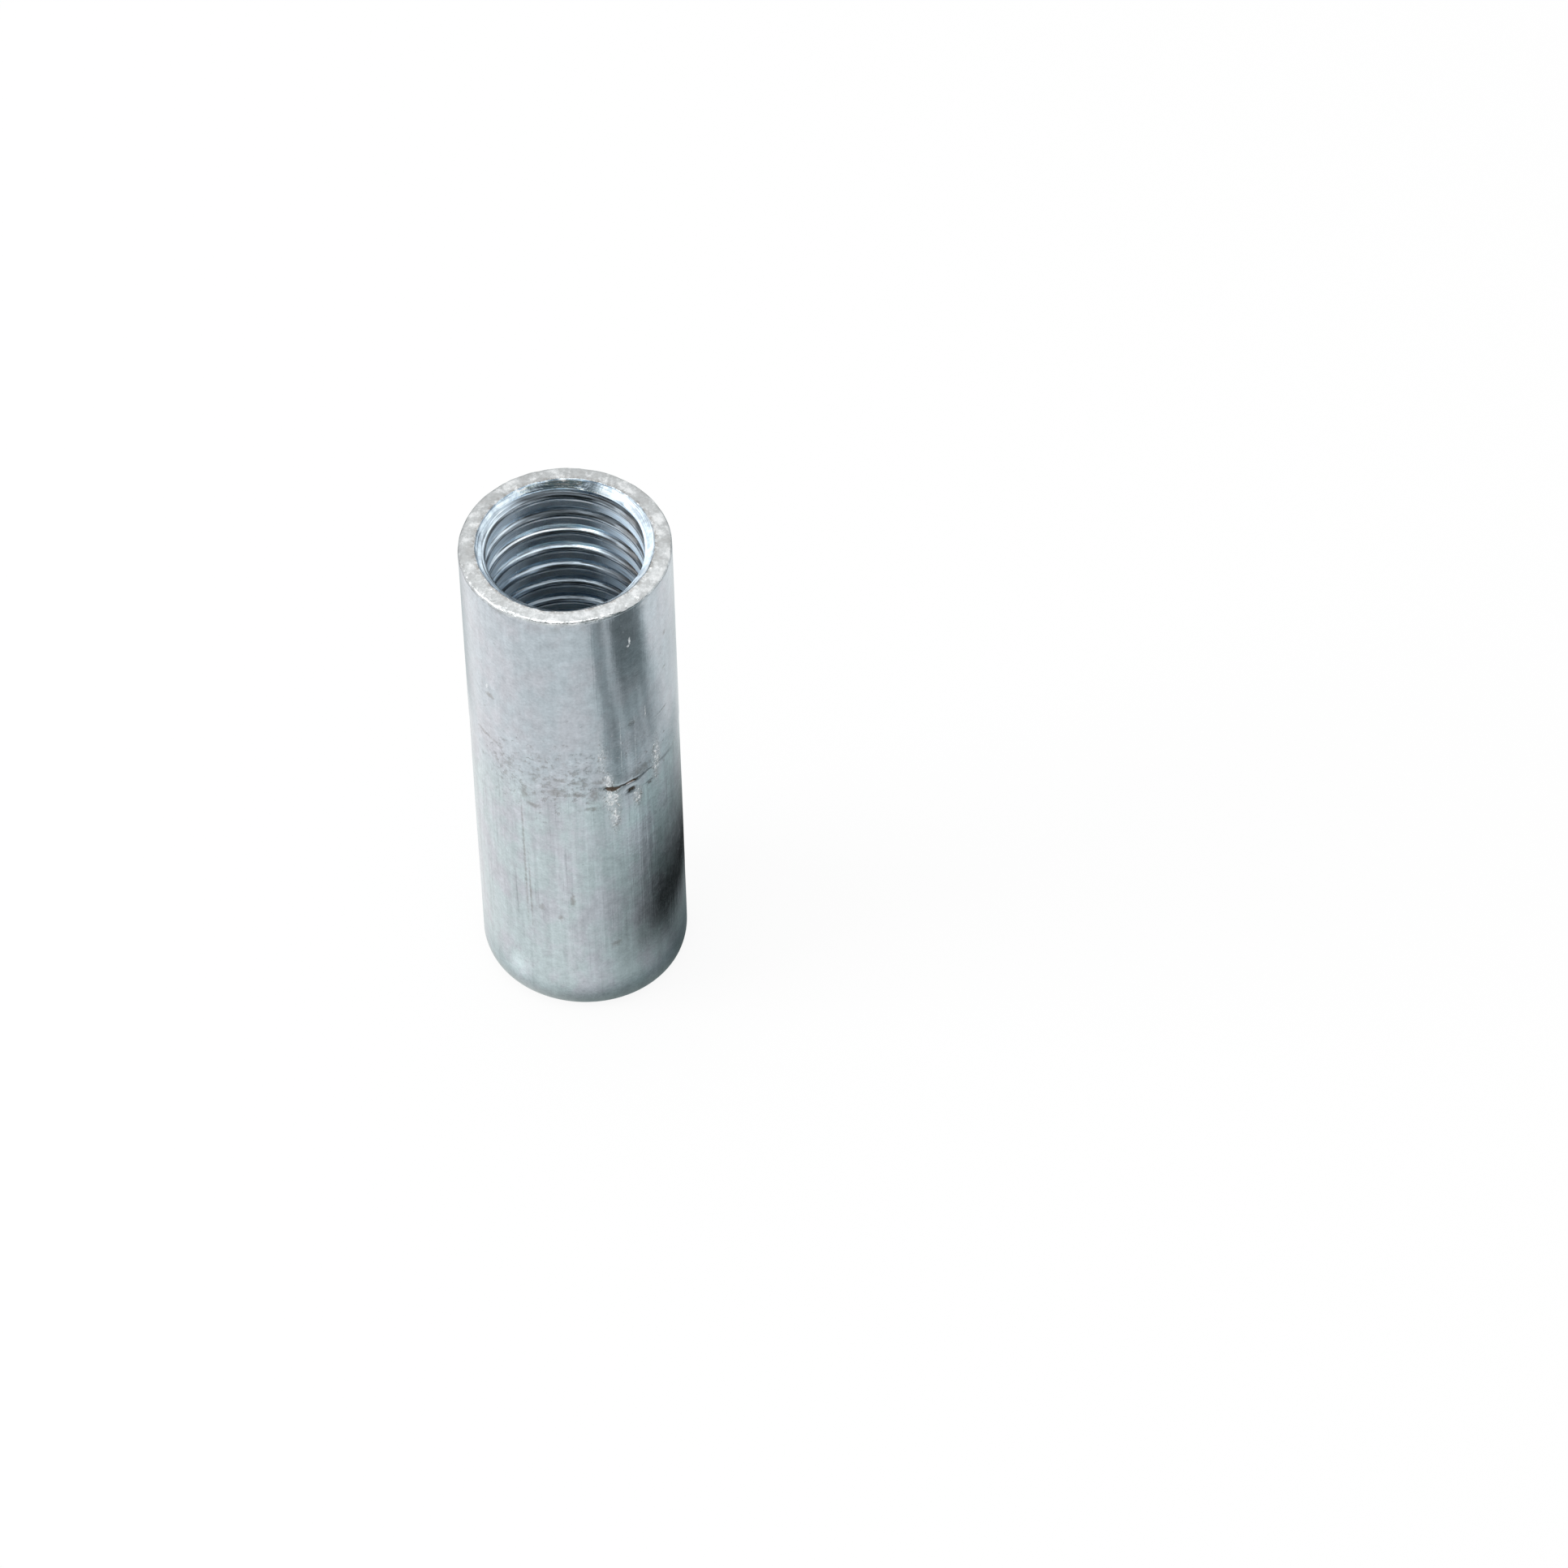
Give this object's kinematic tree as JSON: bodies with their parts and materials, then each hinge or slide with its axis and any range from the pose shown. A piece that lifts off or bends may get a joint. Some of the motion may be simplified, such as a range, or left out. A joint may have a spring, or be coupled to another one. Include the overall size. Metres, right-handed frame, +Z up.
{
  "type": "round coupling nut",
  "caption": "Long round zinc-plated steel nut with a through thread, countersunk at each end, that joins threaded rods end to end.",
  "frame": {"origin": "middle of the foot, the rounded end that the nut stands on, on the axis of the thread", "axes": "+Z up along the axis of the thread, from the foot to the top face; +X and +Y across it"},
  "size_m": [0.0125, 0.0124, 0.035],
  "materials": {
    "zinc_plate": "bright zinc plating, satin, with fine drawing lines, pits and small scratches"
  },
  "bodies": {
    "root": {"coupling_nut": "zinc_plate"}
  },
  "joints": []
}
